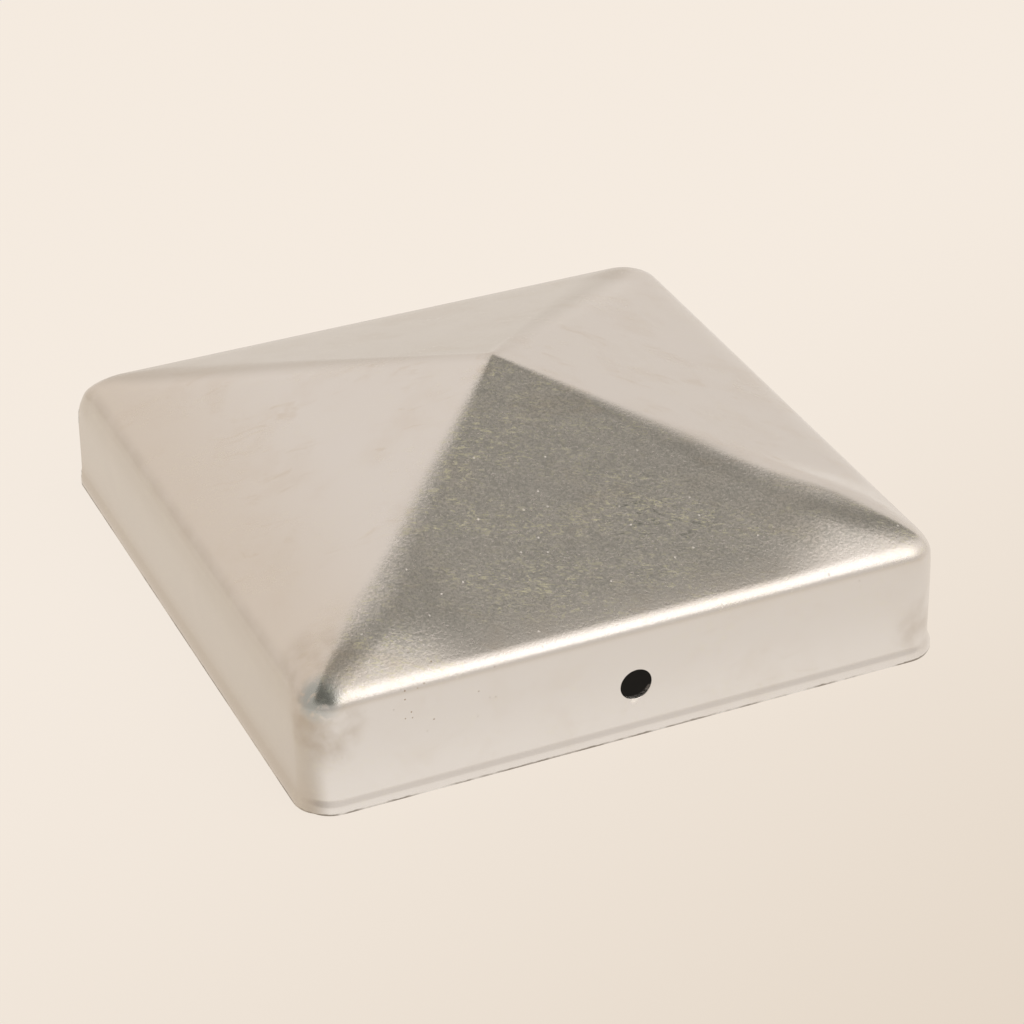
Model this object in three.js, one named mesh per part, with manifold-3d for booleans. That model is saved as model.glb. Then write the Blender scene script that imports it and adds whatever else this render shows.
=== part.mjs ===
// Pyramid cap for a square timber fence post.
//
// The cap is one piece of sheet steel, deep-drawn in a press: four low walls, a
// small fold round the eave, a four-sided roof, and a trimmed lip that flares out
// at the rim. A screw hole is drilled through the front and back walls.
//
// Millimetres, +Z up. The origin is the centre of the rim plane, the front wall
// faces -Y, and the roof's apex stands on the Z axis.

import * as THREE from 'three';
import { mergeVertices } from 'three/addons/utils/BufferGeometryUtils.js';
import Module from 'manifold-3d';

// Sheet and the post that the cap fits over
const SHEET = 0.8;
const SOCKET_WIDTH = 91;
const WALL_HALF = SOCKET_WIDTH / 2 + SHEET;

// Heights and angles of the drawn form
const EAVE_HEIGHT = 17.2; // where the wall and roof planes would meet
const ROOF_SLOPE = THREE.MathUtils.degToRad(20.4);
const FOLD_RADIUS = 2.8;
const TIP_BLUNTING = 0.3; // how far the pressed tip stays under the sharp apex

// Trimmed lip at the rim
const LIP_HEIGHT = 1.2;
const LIP_FLARE = 0.6;

// Plan radius of the corners: tight up the walls, softest just above the fold,
// and drawn in to an almost sharp ridge at the tip
const RIM_CORNER = 4.2;
const WALL_CORNER = 5.1;
const RIDGE_CORNER = 9;
const RIDGE_START = 0.12; // share of the roof in which a corner opens out to its ridge
const TIP_CORNER = 0.5;

// Screw holes
const HOLE_DIAMETER = 4.5;
const HOLE_HEIGHT = 7.9;

// Fineness of the mesh
const CORNER_STEPS = 8;
const WALL_STEPS = 3;
const FOLD_STEPS = 6;
const ROOF_STEPS = 12;
const HOLE_STEPS = 32;

const { lerp, smoothstep } = THREE.MathUtils;

// The outer skin is a stack of level, square sections. Each has its half width,
// height, corner radius and the tilt of its outward normal above the horizontal.

function wallSections() {
  const foldReach = FOLD_RADIUS * Math.tan((Math.PI / 2 - ROOF_SLOPE) / 2);
  const wallTop = EAVE_HEIGHT - foldReach;
  const sections = [
    { half: WALL_HALF + LIP_FLARE, z: 0 },
    { half: WALL_HALF + 0.7 * LIP_FLARE, z: 0.6 * LIP_HEIGHT },
  ];
  for (let step = 0; step <= WALL_STEPS; step++) {
    sections.push({ half: WALL_HALF, z: lerp(LIP_HEIGHT, wallTop, step / WALL_STEPS) });
  }
  return sections.map(({ half, z }) => (
    { half, z, corner: lerp(RIM_CORNER, WALL_CORNER, z / wallTop), tilt: 0 }
  ));
}

function foldSections(wallTop) {
  const sections = [];
  for (let step = 1; step <= FOLD_STEPS; step++) {
    const tilt = (Math.PI / 2 - ROOF_SLOPE) * step / FOLD_STEPS;
    sections.push({
      half: WALL_HALF - FOLD_RADIUS * (1 - Math.cos(tilt)),
      z: wallTop.z + FOLD_RADIUS * Math.sin(tilt),
      corner: WALL_CORNER,
      tilt,
    });
  }
  return sections;
}

function roofSections(foldTop) {
  const sharpApex = EAVE_HEIGHT + WALL_HALF * Math.tan(ROOF_SLOPE);
  const sections = [];
  for (let step = 1; step < ROOF_STEPS; step++) {
    const climb = step / ROOF_STEPS;
    const half = foldTop.half * (1 - climb);
    const ridge = lerp(RIDGE_CORNER, TIP_CORNER, climb);
    sections.push({
      half,
      z: sharpApex - Math.hypot(half * Math.tan(ROOF_SLOPE), TIP_BLUNTING),
      corner: lerp(WALL_CORNER, ridge, smoothstep(climb, 0, RIDGE_START)),
      tilt: foldTop.tilt,
    });
  }
  return { sections, tip: sharpApex - TIP_BLUNTING };
}

// The inner skin lies one sheet thickness behind the outer one.
function innerSection({ half, z, corner, tilt }) {
  const inset = SHEET * Math.cos(tilt);
  return { half: half - inset, z: z - SHEET * Math.sin(tilt), corner: corner - inset, tilt };
}

// One level section: a square with round corners, run anticlockwise from +X.
function sectionPoints({ half, z, corner }) {
  const points = [];
  for (let quarter = 0; quarter < 4; quarter++) {
    const turn = quarter * Math.PI / 2;
    const centre = new THREE.Vector2(half - corner, half - corner).rotateAround(new THREE.Vector2(), turn);
    for (let step = 0; step <= CORNER_STEPS; step++) {
      const angle = turn + (Math.PI / 2) * step / CORNER_STEPS;
      points.push(centre.x + corner * Math.cos(angle), centre.y + corner * Math.sin(angle), z);
    }
  }
  return points;
}

// A closed body: up the outer skin to its tip, and down from the inner tip to
// the rim, where the last section joins the first across the cut edge.
function shellGeometry() {
  const walls = wallSections();
  const folds = foldSections(walls.at(-1));
  const roof = roofSections(folds.at(-1));
  const outer = [...walls, ...folds, ...roof.sections];
  const inner = outer.map(innerSection).reverse();
  const perSection = 4 * (CORNER_STEPS + 1);

  const positions = [...outer, ...inner].flatMap(sectionPoints);
  const outerTip = positions.length / 3;
  const innerTip = outerTip + 1;
  positions.push(0, 0, roof.tip, 0, 0, roof.tip - SHEET / Math.cos(ROOF_SLOPE));

  const index = [];
  const band = (lower, upper) => {
    for (let i = 0; i < perSection; i++) {
      const j = (i + 1) % perSection;
      const [a, b] = [lower * perSection + i, lower * perSection + j];
      const [c, d] = [upper * perSection + j, upper * perSection + i];
      index.push(a, b, c, a, c, d);
    }
  };
  const fan = (section, tip, facesUp) => {
    for (let i = 0; i < perSection; i++) {
      const [a, b] = [section * perSection + i, section * perSection + (i + 1) % perSection];
      index.push(...(facesUp ? [a, b, tip] : [b, a, tip]));
    }
  };

  const count = outer.length;
  for (let s = 0; s < count - 1; s++) {
    band(s, s + 1);
    band(count + s, count + s + 1);
  }
  fan(count - 1, outerTip, true);
  fan(count, innerTip, false);
  band(2 * count - 1, 0);

  const geometry = new THREE.BufferGeometry();
  geometry.setAttribute('position', new THREE.Float32BufferAttribute(positions, 3));
  geometry.setIndex(index);
  return geometry;
}

// One straight drill through both the front and the back wall
function drillGeometry() {
  const length = 2 * (WALL_HALF + LIP_FLARE) + 10;
  const drill = new THREE.CylinderGeometry(HOLE_DIAMETER / 2, HOLE_DIAMETER / 2, length, HOLE_STEPS);
  return drill.translate(0, 0, HOLE_HEIGHT);
}

const wasm = await Module();
wasm.setup();

function toSolid(geometry) {
  const bare = geometry.clone();
  bare.deleteAttribute('normal');
  bare.deleteAttribute('uv');
  const merged = mergeVertices(bare, 1e-5);
  return new wasm.Manifold(new wasm.Mesh({
    numProp: 3,
    vertProperties: new Float32Array(merged.attributes.position.array),
    triVerts: new Uint32Array(merged.index.array),
  }));
}

function toGeometry(solid) {
  const mesh = solid.getMesh();
  const geometry = new THREE.BufferGeometry();
  geometry.setAttribute('position', new THREE.BufferAttribute(mesh.vertProperties, 3));
  geometry.setIndex(new THREE.BufferAttribute(mesh.triVerts, 1));
  geometry.computeVertexNormals();
  return geometry;
}

const drilledShell = toSolid(shellGeometry()).subtract(toSolid(drillGeometry()));

const satinSteel = new THREE.MeshStandardMaterial({ color: 0xc4bdb1, roughness: 0.35, metalness: 1 });
const capShell = new THREE.Mesh(toGeometry(drilledShell), satinSteel);
capShell.name = 'cap_shell';

const fencePostCap = new THREE.Group();
fencePostCap.name = 'fence_post_cap';
fencePostCap.add(capShell);

export default fencePostCap;
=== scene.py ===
"""A pyramid cap for a square fence post, drawn from one steel sheet, on a pale studio table."""

import math

import bpy
from mathutils import Euler, Matrix, Vector


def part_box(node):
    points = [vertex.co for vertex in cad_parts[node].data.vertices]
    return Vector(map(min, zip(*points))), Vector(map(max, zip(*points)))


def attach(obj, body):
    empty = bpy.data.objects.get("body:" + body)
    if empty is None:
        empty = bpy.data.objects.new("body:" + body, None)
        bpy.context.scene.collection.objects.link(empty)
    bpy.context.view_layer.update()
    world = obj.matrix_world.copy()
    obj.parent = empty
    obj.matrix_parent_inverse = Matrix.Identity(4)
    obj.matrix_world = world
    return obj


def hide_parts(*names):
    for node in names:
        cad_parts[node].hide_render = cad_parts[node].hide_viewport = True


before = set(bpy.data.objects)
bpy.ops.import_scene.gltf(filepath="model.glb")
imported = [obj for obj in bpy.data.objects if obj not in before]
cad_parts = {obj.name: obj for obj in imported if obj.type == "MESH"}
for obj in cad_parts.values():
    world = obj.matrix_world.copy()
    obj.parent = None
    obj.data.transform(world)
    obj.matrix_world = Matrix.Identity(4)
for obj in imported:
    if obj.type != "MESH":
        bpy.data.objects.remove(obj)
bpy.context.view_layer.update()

# ---------------------------------------------------------------- Drawn sheet
# The cap is one blank of steel sheet, pressed over a pyramid punch into four low walls, a
# tight fold round the eave and a four-sided roof. Its ridges are almost sharp at the tip and
# open out towards the corners, where the sheet had to flow most.

MM = 0.001
SHEET = 0.8 * MM
LIP_FLARE = 0.6 * MM
TIP_BLUNTING = 0.15 * MM
EAVE_HEIGHT = 17.2 * MM
FOLD_RADIUS = 2.8 * MM
RIM_CORNER = 4.7 * MM
WALL_CORNER = 5.1 * MM
ROOF_CORNER = 9.0 * MM
TIP_CORNER = 0.3 * MM
RIDGE_OPENING = 0.12  # share of the roof in which a corner opens out to its ridge
ROUNDEST = 0.8  # most that a corner's radius may be of its section's half width

LIP_SPACING = 0.25 * MM
LIP_LOOPS = 10
WALL_LOOPS = 8
FOLD_LOOPS = 10
ROOF_LOOPS = 30
TIP_HALVES = [1.0 * MM, 0.6 * MM, 0.35 * MM, 0.18 * MM]
CORNER_SEGMENTS = 16
SIDE_CUTS = 48
SAME_PLACE = 0.001 * MM

rim_low, tip_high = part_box("cap_shell")
WALL_HALF = (tip_high.x - rim_low.x) / 2 - LIP_FLARE
SHARP_APEX = tip_high.z + TIP_BLUNTING
ROOF_SLOPE = math.atan2(SHARP_APEX - EAVE_HEIGHT, WALL_HALF)
FOLD_TURN = math.pi / 2 - ROOF_SLOPE
WALL_TOP = EAVE_HEIGHT - FOLD_RADIUS * math.tan(FOLD_TURN / 2)


def mix(low, high, share):
    return low + (high - low) * share


def smooth_step(low, high, value):
    share = min(max((value - low) / (high - low), 0), 1)
    return share * share * (3 - 2 * share)


def wall_sections():
    """Level sections up the wall, close together where the lip will be pressed out."""
    heights = [LIP_SPACING * step for step in range(LIP_LOOPS)]
    heights += [mix(heights[-1], WALL_TOP, step / WALL_LOOPS) for step in range(1, WALL_LOOPS + 1)]
    return [(WALL_HALF, z, mix(RIM_CORNER, WALL_CORNER, z / WALL_TOP)) for z in heights]


def fold_sections():
    """Level sections round the fold between the wall and the roof."""
    turns = [FOLD_TURN * step / FOLD_LOOPS for step in range(1, FOLD_LOOPS + 1)]
    return [
        (
            WALL_HALF - FOLD_RADIUS * (1 - math.cos(turn)),
            WALL_TOP + FOLD_RADIUS * math.sin(turn),
            WALL_CORNER,
        )
        for turn in turns
    ]


def roof_sections(eave_half):
    """Level sections from the fold to just under the tip, with small ones round the tip."""
    sections = []
    halves = [eave_half * (1 - step / ROOF_LOOPS) for step in range(1, ROOF_LOOPS)]
    for half in halves + TIP_HALVES:
        z = SHARP_APEX - math.hypot(half * math.tan(ROOF_SLOPE), TIP_BLUNTING)
        reach = half / eave_half
        ridge = mix(TIP_CORNER, ROOF_CORNER, reach)
        corner = mix(WALL_CORNER, ridge, smooth_step(0, RIDGE_OPENING, 1 - reach))
        sections.append((half, z, min(corner, ROUNDEST * half)))
    return sections


def round_and_open(corner):
    """Rounds the corners of the selected square and takes its face out, which leaves a loop."""
    bpy.ops.mesh.bevel(affect="VERTICES", offset=corner, segments=CORNER_SEGMENTS, profile=0.5)
    bpy.ops.mesh.delete(type="ONLY_FACE")


folds = fold_sections()
sections = wall_sections() + folds + roof_sections(folds[-1][0])

rim_half, rim_z, rim_corner = sections[0]
bpy.ops.object.select_all(action="DESELECT")
bpy.ops.mesh.primitive_plane_add(size=2 * rim_half, location=(0, 0, rim_z))
cap = bpy.context.object
cap.name = "drawn_cap"
bpy.ops.object.mode_set(mode="EDIT")
bpy.ops.mesh.select_all(action="SELECT")
round_and_open(rim_corner)
for half, z, corner in sections[1:]:
    bpy.ops.mesh.primitive_plane_add(size=2 * half, location=(0, 0, z))
    round_and_open(corner)
bpy.ops.mesh.select_all(action="SELECT")
bpy.ops.mesh.bridge_edge_loops()
bpy.ops.mesh.select_mode(type="EDGE")


def select_edges(piece, wanted):
    """Selects the edges whose two ends pass the test, in edit mode."""
    bpy.ops.mesh.select_all(action="DESELECT")
    bpy.ops.object.mode_set(mode="OBJECT")
    points = [vertex.co for vertex in piece.data.vertices]
    for edge in piece.data.edges:
        edge.select = wanted(*(points[index] for index in edge.vertices))
    bpy.ops.object.mode_set(mode="EDIT")


def on_straight_side(a, b):
    """True on level edges that run along one wall, and not round a corner."""
    level = abs(a.z - b.z) < SAME_PLACE
    return level and min(abs(a.x - b.x), abs(a.y - b.y)) < SAME_PLACE


def on_top_loop(a, b):
    """True on the smallest loop, just under the tip."""
    return min(a.z, b.z) > sections[-1][1] - SAME_PLACE


select_edges(cap, on_straight_side)
bpy.ops.mesh.subdivide(number_cuts=SIDE_CUTS)
select_edges(cap, on_top_loop)
bpy.ops.mesh.edge_face_add()
bpy.ops.mesh.poke(offset=tip_high.z - sections[-1][1])
bpy.ops.mesh.select_all(action="SELECT")
bpy.ops.mesh.normals_make_consistent(inside=False)
bpy.ops.object.mode_set(mode="OBJECT")


# The lip and the corners. A narrow lip steps out from the wall all round the rim. The roof
# swells towards the front corners, where the sheet gathers, the fold is pressed in softer on
# the other three sides, and the draw left the back left corner squarer than the others.

LIP_HEIGHT = 2.5 * MM
LIP_STEP = 1.8 * MM
LIP_OUT = 0.5 * MM
FRONT_SWELL = 1.3 * MM
BACK_SWELL = -0.1 * MM
SWELL_REACH = 9 * MM
SWELL_SPREAD = (20 * MM, 33 * MM)
SWELL_ON_SIDES = (0.6, 1.0)
SQUARE_CORNER = Vector((-0.75, 1, 0)).normalized()
SQUARE_PUSH = 2.1 * MM
SQUARE_FADE = (10 * MM, 21 * MM)
SQUARE_PART = (WALL_HALF - WALL_CORNER, WALL_HALF - 0.3 * RIM_CORNER)
FOLD_MIDDLE = (0.5 * MM, 16.85 * MM)
SOFT_FROM = WALL_CORNER / 4
SOFT_REACH = 2.7 * MM
SOFT_DROP = 0.7
LEFT_SOFTENING = 0.6 * MM
RIGHT_SOFTENING = 0.3 * MM
BACK_SOFTENING = 0.25 * MM


def out_of_core(point, corner):
    """How far a point lies outside the straight-sided core of its level section, as a vector."""
    core = WALL_HALF - corner
    beyond = (math.copysign(max(abs(side) - core, 0), side) for side in (point.x, point.y))
    return Vector((*beyond, 0))


def lip_reach(z):
    """How far the rim steps out at this height."""
    return LIP_OUT * (1 - smooth_step(LIP_HEIGHT - LIP_STEP, LIP_HEIGHT, z))


def corner_swell(across, along, point):
    """Rises from the wall to its full height at its reach, and sinks again beyond it."""
    height = FRONT_SWELL if point.y < 0 else BACK_SWELL
    inward = max(WALL_HALF - across, 0) / SWELL_REACH
    rise = inward**2 * math.exp(2 - 2 * inward) * smooth_step(*SWELL_SPREAD, along)
    if abs(point.x) > abs(point.y):
        rise *= smooth_step(*SWELL_ON_SIDES, along / across)
    return height * rise


def squareness(along, point):
    """1 on the round of the back left corner and 0 elsewhere, with a smooth step between."""
    if point.x > 0 or point.y < 0:
        return 0
    return smooth_step(*SQUARE_PART, along)


def fold_softening(point):
    """Presses the fold in on every side but the front, where it is crisp."""
    outward = out_of_core(point, WALL_CORNER)
    if outward.length < SOFT_FROM:
        return outward * 0
    inside = WALL_CORNER - outward.length - FOLD_MIDDLE[0]
    near = math.exp(-(inside**2 + (point.z - FOLD_MIDDLE[1]) ** 2) / SOFT_REACH**2)
    outward.normalize()
    amount = (LEFT_SOFTENING if point.x < 0 else RIGHT_SOFTENING) * outward.x**2
    if point.y > 0:
        amount += BACK_SOFTENING * outward.y**2
    return Vector((-outward.x, -outward.y, -SOFT_DROP)) * amount * near


for vertex in cap.data.vertices:
    point = vertex.co.copy()
    across, along = sorted((abs(point.x), abs(point.y)), reverse=True)
    square = squareness(along, point)
    moved = point + out_of_core(point, RIM_CORNER).normalized() * lip_reach(point.z) * (1 - square)
    moved += fold_softening(point)
    moved += SQUARE_CORNER * SQUARE_PUSH * square * (1 - smooth_step(*SQUARE_FADE, point.z))
    moved.x = max(moved.x, -WALL_HALF - lip_reach(point.z))
    moved.y = min(moved.y, WALL_HALF + lip_reach(point.z))
    moved.z += corner_swell(across, along, point)
    vertex.co = moved


# Sheet thickness, screw holes and soft edges. The skin made so far is the outside, so the
# sheet grows inwards, and one drill goes straight through the front and back walls.

HOLE_DIAMETER = 4.5 * MM
HOLE_HEIGHT = 7.9 * MM
HOLE_SEGMENTS = 64
HOLE_EDGE_ROUNDING = 0.12 * MM
EDGE_SEGMENTS = 3
DRILL_SPARE = 10 * MM
RING_TOLERANCE = 0.02 * MM
WALLS_BEYOND = 40 * MM
CREASE_ANGLE = math.radians(40)

bpy.ops.object.modifier_add(type="SOLIDIFY")
cap.modifiers[-1].thickness = SHEET
cap.modifiers[-1].offset = -1
cap.modifiers[-1].use_even_offset = True
bpy.ops.object.modifier_apply(modifier=cap.modifiers[-1].name)

bpy.ops.mesh.primitive_cylinder_add(
    vertices=HOLE_SEGMENTS,
    radius=HOLE_DIAMETER / 2,
    depth=2 * WALL_HALF + DRILL_SPARE,
    location=(0, 0, HOLE_HEIGHT),
    rotation=(math.pi / 2, 0, 0),
)
drill = bpy.context.object
bpy.ops.object.select_all(action="DESELECT")
cap.select_set(True)
bpy.context.view_layer.objects.active = cap
bpy.ops.object.modifier_add(type="BOOLEAN")
cap.modifiers[-1].object = drill
cap.modifiers[-1].operation = "DIFFERENCE"
bpy.ops.object.modifier_apply(modifier=cap.modifiers[-1].name)
bpy.data.objects.remove(drill)


def on_hole_ring(point):
    """True at the hole's radius from the drill's axis, out at a wall."""
    off_ring = math.hypot(point.x, point.z - HOLE_HEIGHT) - HOLE_DIAMETER / 2
    return abs(off_ring) < RING_TOLERANCE and abs(point.y) > WALLS_BEYOND


def on_hole_edge(a, b):
    """True on the four rings where the drill meets the two faces of a wall."""
    across_wall = abs(a.y - b.y) > SHEET / 2
    return not across_wall and on_hole_ring(a) and on_hole_ring(b)


bpy.ops.object.mode_set(mode="EDIT")
select_edges(cap, on_hole_edge)
bpy.ops.mesh.bevel(offset=HOLE_EDGE_ROUNDING, segments=EDGE_SEGMENTS)
bpy.ops.mesh.select_all(action="DESELECT")
bpy.ops.object.mode_set(mode="OBJECT")
bpy.ops.object.shade_smooth_by_angle(angle=CREASE_ANGLE)

# The rim is trimmed level.
for vertex in cap.data.vertices:
    vertex.co.z = max(vertex.co.z, 0)

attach(cap, "root")
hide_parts("cap_shell")


# ---------------------------------------------------------------- Satin steel
# The sheet's finish: bright mill steel gone satin, with a fine grain that sparkles,
# faint brown stains, and pits where the draw stretched it. Light and shade are painted in
# too: shade on the left wall, the back roof and the rim's foot, a brighter reflection low on
# the walls, a dark reflection on the near corner and a glint under the hole.


class Shade:
    """An output socket of a shader node. Arithmetic on it adds Math nodes."""

    def __init__(self, tree, socket=None):
        self.tree = tree
        self.socket = socket

    def node(self, kind, settings, inputs, output=0):
        """Adds any node: its settings first, then the values or links of its sockets."""
        made = self.tree.nodes.new(kind)
        for name, value in settings.items():
            setattr(made, name, value)
        for name, value in inputs.items():
            if isinstance(value, Shade):
                self.tree.links.new(value.socket, made.inputs[name])
            else:
                made.inputs[name].default_value = value
        return Shade(self.tree, made.outputs[output] if made.outputs else None)

    def math(self, operation, *values):
        return self.node("ShaderNodeMath", {"operation": operation}, dict(enumerate(values)))

    def axis(self, name):
        """One coordinate of a vector."""
        return self.node("ShaderNodeSeparateXYZ", {}, {"Vector": self}, output=name)

    def __add__(self, other):
        return self.math("ADD", self, other)

    def __sub__(self, other):
        return self.math("SUBTRACT", self, other)

    def __rsub__(self, other):
        return self.math("SUBTRACT", other, self)

    def __mul__(self, other):
        return self.math("MULTIPLY", self, other)

    def __abs__(self):
        return self.math("ABSOLUTE", self)

    __radd__ = __add__
    __rmul__ = __mul__


steel = bpy.data.materials.new("satin_steel")
steel.use_nodes = True
steel.node_tree.nodes.clear()
base = Shade(steel.node_tree)
place = base.node("ShaderNodeTexCoord", {}, {}, output="Object")
place_x = place.axis("X")
place_y = place.axis("Y")
place_z = place.axis("Z")

# The mill rolled the sheet in one direction, and its marks are long that way.
ROLLING_ANGLE = math.radians(24)
ROLLING_STRETCH = (0.25, 1, 1)
turned = base.node(
    "ShaderNodeVectorRotate",
    {"rotation_type": "Z_AXIS"},
    {"Vector": place, "Angle": ROLLING_ANGLE},
    output="Vector",
)
rolled = base.node(
    "ShaderNodeVectorMath",
    {"operation": "MULTIPLY"},
    {0: turned, 1: ROLLING_STRETCH},
    output="Vector",
)


def cloud(size, detail=2.0, roughness=0.5, distortion=0.0, space=place):
    """Noise around 0.5 whose patches are about this size."""
    sockets = {
        "Vector": space,
        "Scale": 1 / size,
        "Detail": detail,
        "Roughness": roughness,
        "Distortion": distortion,
    }
    return base.node("ShaderNodeTexNoise", {}, sockets, output="Fac")


def ramp(value, low, high):
    """0 at low and 1 at high, with a smooth step between."""
    return value.node(
        "ShaderNodeMapRange",
        {"interpolation_type": "SMOOTHSTEP"},
        {"Value": value, "From Min": low, "From Max": high},
    )


def fade(value, start, end):
    """1 up to the start and 0 from the end on, with a smooth step between."""
    return 1 - ramp(value, start, end)


def line(value, level, width):
    """Thin lines where a value passes one level."""
    return fade(abs(value - level), 0, width)


def spot(centre, radius):
    """A round patch on the sheet, in millimetres, that fades out to its radius."""
    sockets = {0: place, 1: tuple(side * MM for side in centre)}
    distance = base.node("ShaderNodeVectorMath", {"operation": "DISTANCE"}, sockets, output="Value")
    return fade(distance, 0.35 * radius * MM, radius * MM)


def dots(pitch, radius, share, dimensions="3D"):
    """Small round dots in this share of the cells of a random pattern."""
    settings = {"voronoi_dimensions": dimensions}
    sockets = {"Vector": place, "Scale": 1 / pitch}
    distance = base.node("ShaderNodeTexVoronoi", settings, sockets, output="Distance")
    chance = base.node("ShaderNodeTexVoronoi", settings, sockets, output="Color")
    drawn = chance.node("ShaderNodeSeparateColor", {}, {"Color": chance}, output="Red")
    chosen = ramp(drawn, 1 - share, 1 - share + 0.02)
    return fade(distance, 0.5 * radius / pitch, radius / pitch) * chosen


def blend(share, first, second):
    """One colour turning into another."""
    tree = share.tree
    mixer = tree.nodes.new("ShaderNodeMix")
    mixer.data_type = "RGBA"
    factor = next(socket for socket in mixer.inputs if socket.name == "Factor")
    colours = [socket for socket in mixer.inputs if socket.type == "RGBA"]
    for socket, value in zip([factor, *colours], (share, first, second)):
        if isinstance(value, Shade):
            tree.links.new(value.socket, socket)
        else:
            socket.default_value = value
    return Shade(tree, next(socket for socket in mixer.outputs if socket.type == "RGBA"))


# Where the parts of the sheet are: starts and ends of soft borders.
FOLD_BORDER = (15.5 * MM, 18.0 * MM)
FLAT_BORDER = (17.4 * MM, 20 * MM)
FRONT_RIDGE_BLUR = 2 * MM
BACK_RIDGE_BLUR = 3 * MM
LEFT_RIDGE_BLUR = 4 * MM
LEFT_WALL_SIDE = (-46.2 * MM, -43.2 * MM)
LEFT_WALL_TOP = (15.4 * MM, 17.0 * MM)
LEFT_WALL_FOOT = (1 * MM, 7 * MM)
LEFT_ROOF_SIDE = (-46 * MM, -22 * MM)
PAINTED_BRIGHT_FOOT = (0.5 * MM, 13 * MM)

below_roof = fade(place_z, *FOLD_BORDER)
sideways = abs(place_x)
on_front_roof = fade(place_y + sideways, -FRONT_RIDGE_BLUR, FRONT_RIDGE_BLUR) * (1 - below_roof)
on_back_roof = fade(sideways - place_y, -BACK_RIDGE_BLUR, BACK_RIDGE_BLUR) * (1 - below_roof)
on_flat = on_front_roof * (1 - fade(place_z, *FLAT_BORDER))
# Painted shade on the left wall, below its fold.
painted_shade_left_wall = fade(place_x, *LEFT_WALL_SIDE) * fade(place_z, *LEFT_WALL_TOP)
left_roof = fade(place_x, *LEFT_ROOF_SIDE)
left_roof = left_roof * fade(place_x - place_y, -LEFT_RIDGE_BLUR, LEFT_RIDGE_BLUR)
# Painted reflection: the walls grow lighter towards their foot.
painted_bright_foot = fade(place_z, *PAINTED_BRIGHT_FOOT)

# Rolled grain, streaks and fibres. They show most on the front roof.
MOTTLE_SIZE = 9 * MM
STREAK_SIZE = 2.6 * MM
GRAIN_SIZE = 0.42 * MM
GRAIN_DEPTH = 0.055 * MM
SMUDGE_SIZE = 3 * MM
FIBRE_SIZE = 0.8 * MM
FIBRE_GAPS = 0.9 * MM
FIBRE_PATCHES = 7 * MM

mottle = cloud(MOTTLE_SIZE, detail=5, roughness=0.6, distortion=0.4)
streaks = cloud(STREAK_SIZE, detail=4, roughness=0.6, distortion=1.2, space=rolled)
grain = cloud(GRAIN_SIZE, detail=3, roughness=0.75)
smudges = ramp(cloud(SMUDGE_SIZE, detail=5, roughness=0.65, distortion=0.8), 0.42, 0.62)
fibres = line(cloud(FIBRE_SIZE, detail=3, distortion=1.2, space=rolled), 0.5, 0.05)
fibres = fibres * ramp(cloud(FIBRE_PATCHES, detail=3, space=rolled), 0.36, 0.66)
fibres = fibres * ramp(cloud(FIBRE_GAPS), 0.38, 0.60) * (0.2 + 0.8 * on_front_roof)

# Scratches, bright specks, pits along the fold, and a painted glint under the hole. Each spot
# is its centre and radius, in millimetres.
SCRATCH_SIZE = 5 * MM
MARK_GAPS = 2.5 * MM
SCRATCHED_SPOT = ((10, -31, 22), 10)
SPECK_PITCH = 3.2 * MM
SPECK_RADIUS = 0.2 * MM
SPECK_SHARE = 0.14
PIT_PITCH = 0.9 * MM
PIT_RADIUS = 0.16 * MM
PIT_SHARE = 0.5
LEFT_FOLD_PITS = ((-28, -46.3, 15), 11)
RIGHT_FOLD_PITS = ((37, -46.3, 16), 6)
LEFT_WALL_PITS = ((-40, -46, 8), 11)
PAINTED_GLINT_BELOW_HOLE = ((-0.3, -46.3, 5.45), 0.6)

scratches = line(cloud(SCRATCH_SIZE, detail=4, distortion=2.2, space=rolled), 0.47, 0.018)
scratches = scratches * spot(*SCRATCHED_SPOT) * ramp(cloud(MARK_GAPS), 0.36, 0.50)
specks = dots(SPECK_PITCH, SPECK_RADIUS, SPECK_SHARE, dimensions="2D") * on_front_roof
pits = dots(PIT_PITCH, PIT_RADIUS, PIT_SHARE) * ramp(cloud(MARK_GAPS, detail=3), 0.47, 0.60)
pitted = spot(*LEFT_FOLD_PITS) + spot(*RIGHT_FOLD_PITS) * 0.7 + spot(*LEFT_WALL_PITS) * 0.45
# Painted glint on the lower edge of the hole.
painted_glint = spot(*PAINTED_GLINT_BELOW_HOLE)

# Brown stains at the front corners and along the left eave, a painted dark reflection on the
# near corner, and a dark ragged band along the rim's foot, which is both its cut edge and
# painted shadow where it meets the table.
NEAR_CORNER_STAIN = ((-43.8, -45.2, 12.8), 7)
RIGHT_CORNER_STAIN = ((43.6, -45.8, 5), 6)
EAVE_STAIN = ((-42, -40, 19), 9)
# The painted dark reflection sits on the near corner's fold.
PAINTED_DARK_REFLECTION = ((-43.4, -43.8, 16.8), 3.8)
EAVE_LINE_HEIGHT = 16.8 * MM
EAVE_LINE_WIDTH = 1.8 * MM
EAVE_LINE_WANDER = 2.5 * MM
EAVE_LINE_SIDE = (-46 * MM, -43.5 * MM)
STAIN_PATCHES = 3.6 * MM
DARK_REFLECTION_PATCHES = 1.3 * MM
CUT_EDGE_AND_SHADOW_BAND = (0.18 * MM, 0.34 * MM)
FOOT_BAND_WANDER = 0.35 * MM
FOOT_BAND_RAGGEDNESS = 0.8 * MM
FOOT_BAND_PATCHES = 5 * MM

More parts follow.
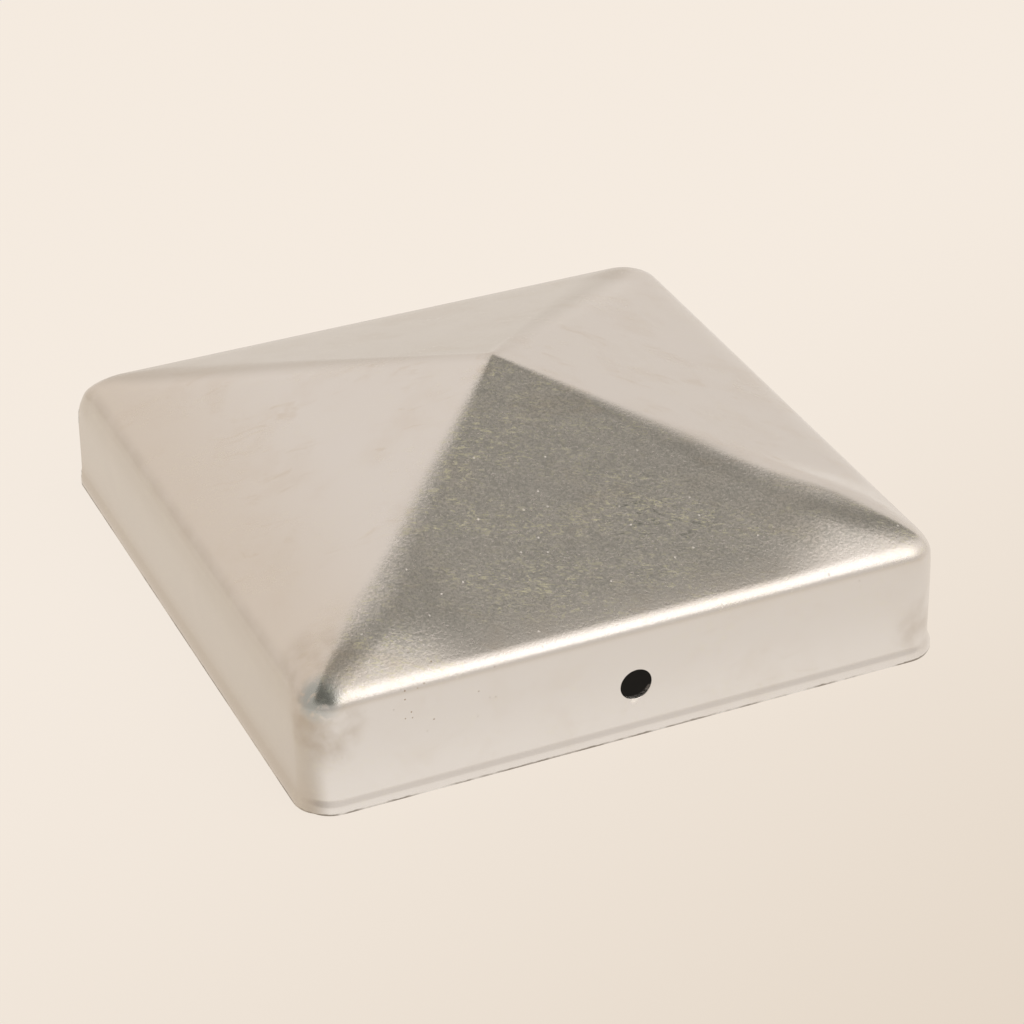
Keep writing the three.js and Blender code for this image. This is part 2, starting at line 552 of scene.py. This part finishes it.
wandering_eave = place_z + (mottle - 0.5) * EAVE_LINE_WANDER
eave_line = line(wandering_eave, EAVE_LINE_HEIGHT, EAVE_LINE_WIDTH) * fade(place_x, *EAVE_LINE_SIDE)
brown = spot(*NEAR_CORNER_STAIN) + spot(*RIGHT_CORNER_STAIN) * 0.6 + spot(*EAVE_STAIN) * 0.6
brown = (brown + eave_line * 0.4) * ramp(cloud(STAIN_PATCHES, detail=3), 0.25, 0.75)
painted_dark_reflection = spot(*PAINTED_DARK_REFLECTION) * ramp(cloud(DARK_REFLECTION_PATCHES, detail=4, distortion=0.5), 0.26, 0.50)
# The rim's dark foot band: its cut edge, and painted shadow where it meets the table.
wandering_foot_band = place_z + (cloud(FOOT_BAND_RAGGEDNESS, detail=3) - 0.5) * FOOT_BAND_WANDER
cut_edge_and_shadow = fade(wandering_foot_band, *CUT_EDGE_AND_SHADOW_BAND)

STEEL_COLOUR = (0.80, 0.80, 0.81, 1)
PAINTED_BRIGHT_FOOT_COLOUR = (0.87, 0.875, 0.89, 1)
PAINTED_SHADE_COLOUR = (0.455, 0.43, 0.395, 1)
STAIN_COLOUR = (0.70, 0.645, 0.58, 1)
RUST_AND_PAINTED_SHADE_COLOUR = (0.40, 0.33, 0.25, 1)
FIBRE_COLOUR = (0.84, 0.85, 0.66, 1)
SCRATCH_COLOUR = (0.28, 0.31, 0.30, 1)
PAINTED_DARK_REFLECTION_COLOUR = (0.38, 0.44, 0.46, 1)
CUT_EDGE_AND_SHADOW_COLOUR = (0.22, 0.19, 0.16, 1)
SPECK_AND_PAINTED_GLINT_COLOUR = (1, 1, 1, 1)

# Painted reflection: the walls grow lighter towards their foot.
colour = blend(painted_bright_foot * 0.9, STEEL_COLOUR, PAINTED_BRIGHT_FOOT_COLOUR)
# Painted shade: the left wall darkened.
colour = blend(painted_shade_left_wall, colour, PAINTED_SHADE_COLOUR)
# Painted shade: the left wall darker still towards its foot.
colour = blend(painted_shade_left_wall * fade(place_z, *LEFT_WALL_FOOT) * 0.35, colour, RUST_AND_PAINTED_SHADE_COLOUR)
colour = blend(left_roof * 0.6, colour, STAIN_COLOUR)
colour = blend(ramp(mottle, 0.45, 0.75) * (0.25 - 0.10 * below_roof), colour, STAIN_COLOUR)
streaky = ramp(streaks, 0.54, 0.70) * ramp(mottle, 0.42, 0.60)
colour = blend(streaky * (0.35 - 0.25 * below_roof), colour, STAIN_COLOUR)
colour = blend(ramp(grain, 0.40, 0.60) * (0.42 * on_flat), colour, SCRATCH_COLOUR)
colour = blend(smudges * (0.12 * on_flat), colour, SCRATCH_COLOUR)
colour = blend(fibres * 0.85, colour, FIBRE_COLOUR)
colour = blend(scratches * 0.8, colour, SCRATCH_COLOUR)
colour = blend(brown * 0.50, colour, RUST_AND_PAINTED_SHADE_COLOUR)
# Painted shade: the back roof darkened.
colour = blend(on_back_roof * 0.5, colour, PAINTED_SHADE_COLOUR)
# Painted reflection: a dark bluish patch on the near corner's fold.
colour = blend(painted_dark_reflection * 0.75, colour, PAINTED_DARK_REFLECTION_COLOUR)
colour = blend(pits * pitted * 0.8, colour, RUST_AND_PAINTED_SHADE_COLOUR)
# Painted glint under the hole, and bright specks on the front roof.
colour = blend(painted_glint + specks * 0.7, colour, SPECK_AND_PAINTED_GLINT_COLOUR)
# Painted shadow and cut edge: a ragged dark band along the rim's foot.
colour = blend(cut_edge_and_shadow * ramp(cloud(FOOT_BAND_PATCHES, detail=4), 0.36, 0.58) * 0.8, colour, CUT_EDGE_AND_SHADOW_COLOUR)

SMOOTHEST = 0.19
roughness = SMOOTHEST + mottle * 0.05
roughness = roughness + grain * (0.06 + 0.10 * on_front_roof - 0.04 * below_roof)
roughness = roughness + fibres * 0.17 + specks * 0.5 + painted_glint * 0.5 + cut_edge_and_shadow * 0.2
grain_height = grain * (0.3 + 0.7 * on_front_roof - 0.22 * below_roof)
bump = base.node(
    "ShaderNodeBump",
    {},
    {"Strength": 1.0, "Distance": GRAIN_DEPTH, "Height": grain_height},
    output="Normal",
)
surface = base.node(
    "ShaderNodeBsdfPrincipled",
    {},
    {"Base Color": colour, "Metallic": 1.0, "Roughness": roughness, "Normal": bump},
)
base.node("ShaderNodeOutputMaterial", {}, {"Surface": surface})
cap.data.materials.clear()
cap.data.materials.append(steel)

# ---------------------------------------------------------------- Studio
# A pale light table that runs out of sight and is dark under the cap, a pale room around it
# with a darker ceiling, and one large soft box over the front right.

TABLE_SIZE = 8.0
TABLE_LIGHT = (0.935, 0.855, 0.77, 1)
TABLE_SHADE = (0.70, 0.595, 0.48, 1)
TABLE_FAR = (0.80, 0.72, 0.63, 1)
TABLE_GLOW = 0.92
SHADE_TURN = (0.36, 0.93)
SHADE_BORDER = (-0.05, 0.25)
FAR_BORDER = (0.22, 0.6)
CAP_BORDER = (WALL_HALF - 3.5 * MM, WALL_HALF - 1.9 * MM)
UNDER_CAP_GLOW = 0.015

bpy.ops.object.select_all(action="DESELECT")
bpy.ops.mesh.primitive_plane_add(size=TABLE_SIZE)
table = bpy.context.object
table.name = "studio_table"
table_top = bpy.data.materials.new("table_top")
table_top.use_nodes = True
table_top.node_tree.nodes.clear()
paint = Shade(table_top.node_tree)
on_table = paint.node("ShaderNodeTexCoord", {}, {}, output="Object")
table_x = on_table.axis("X")
table_y = on_table.axis("Y")
from_middle = paint.node("ShaderNodeVectorMath", {"operation": "LENGTH"}, {0: on_table}, output="Value")
shaded = ramp(table_x * SHADE_TURN[0] - table_y * SHADE_TURN[1], *SHADE_BORDER)
tone = blend(shaded, TABLE_LIGHT, TABLE_SHADE)
tone = blend(ramp(from_middle, *FAR_BORDER), tone, TABLE_FAR)
beyond_cap = ramp(paint.math("MAXIMUM", abs(table_x), abs(table_y)), *CAP_BORDER)
glow_strength = UNDER_CAP_GLOW + (1 - UNDER_CAP_GLOW) * beyond_cap
table_glow = paint.node("ShaderNodeEmission", {}, {"Color": tone, "Strength": glow_strength})
matt = paint.node("ShaderNodeBsdfDiffuse", {}, {"Color": tone})
mixed = paint.node("ShaderNodeMixShader", {}, {0: TABLE_GLOW, 1: matt, 2: table_glow})
paint.node("ShaderNodeOutputMaterial", {}, {"Surface": mixed})
table.data.materials.append(table_top)

# The room is bright at the front right, and its walls dim a little towards the table.
ROOM_COLOUR = (1.0, 0.885, 0.775, 1)
CEILING_COLOUR = (1.0, 0.905, 0.74, 1)
WALL_LIGHT = 0.84
CEILING_LIGHT = 0.212
FRONT_GLOW = 0.20
LOW_RIGHT_DIP = 0.06
LOW_LEFT_DIP = 0.07
LOW_FRONT_DIP = 0.17
CEILING_TURN = 0.29
CEILING_OPENING = 0.95

room = bpy.data.worlds.new("pale_room")
bpy.context.scene.world = room
room.use_nodes = True
room.node_tree.nodes.clear()
sky = Shade(room.node_tree)
direction = sky.node("ShaderNodeTexCoord", {}, {}, output="Generated")
to_x = direction.axis("X")
to_y = direction.axis("Y")
to_z = direction.axis("Z")
front_glow = fade(to_y, -0.12, 0.24) * ramp(to_x, -0.25, 0.05)
ceiling = fade(to_y - to_x * CEILING_TURN, 0.34, 0.50) * ramp(to_z, 0.30, 0.55)
ceiling = ceiling * (1 - CEILING_OPENING * front_glow)
low = fade(to_z, 0.10, 0.50)
left = fade(to_x, -0.60, -0.10)
front = fade(to_y, -0.70, -0.20)
right = ramp(to_x, 0.20, 0.50)
walls = WALL_LIGHT + FRONT_GLOW * front_glow * (1 - low)
walls = walls - LOW_RIGHT_DIP * (low * right) - LOW_LEFT_DIP * (low * left)
walls = walls - LOW_FRONT_DIP * (low * front)
light = walls * (1 - ceiling) + CEILING_LIGHT * ceiling
room_colour = blend(ceiling, ROOM_COLOUR, CEILING_COLOUR)
room_glow = sky.node("ShaderNodeBackground", {}, {"Color": room_colour, "Strength": light})
sky.node("ShaderNodeOutputWorld", {}, {"Surface": room_glow})

# The lamp is seen through, so its light adds to that of the room behind it.
BOX_TOWARDS = Vector((0.38, -0.685, 0.615)).normalized()
BOX_DISTANCE = 1.2
BOX_WIDTH = 1.15
BOX_HEIGHT = 0.82
BOX_RADIANCE = 0.62
BOX_COLOUR = (1.0, 0.96, 0.91)

bpy.ops.object.light_add(type="AREA", location=BOX_TOWARDS * BOX_DISTANCE)
soft_box = bpy.context.object
soft_box.name = "soft_box"
soft_box.rotation_euler = BOX_TOWARDS.to_track_quat("Z", "Y").to_euler()
soft_box.data.shape = "RECTANGLE"
soft_box.data.size = BOX_WIDTH
soft_box.data.size_y = BOX_HEIGHT
soft_box.data.energy = BOX_RADIANCE * math.pi * BOX_WIDTH * BOX_HEIGHT
soft_box.data.color = BOX_COLOUR

# ---------------------------------------------------------------- Camera
# A long lens, a little above the cap, that looks at its front left corner. It aims slightly
# above the rim and to the right, so that the cap stands in the middle of the view.

AZIMUTH = math.radians(-24.12)
ELEVATION = math.radians(31.67)
ROLL = math.radians(-0.28)
DISTANCE = 485.2 * MM
LOOK_RIGHT = 2.67 * MM
LOOK_UP = 7.27 * MM
LENS = 119.2
SENSOR_WIDTH = 36
NEAREST = 0.05

bpy.ops.object.camera_add()
camera = bpy.context.object
turn = Euler((math.pi / 2 - ELEVATION, 0, AZIMUTH)).to_matrix() @ Matrix.Rotation(ROLL, 3, "Z")
stand = Matrix.Translation(turn @ Vector((LOOK_RIGHT, LOOK_UP, DISTANCE)))
camera.matrix_world = stand @ turn.to_4x4()
camera.data.lens = LENS
camera.data.sensor_width = SENSOR_WIDTH
camera.data.clip_start = NEAREST
bpy.context.scene.camera = camera
bpy.context.scene.view_settings.view_transform = "Standard"
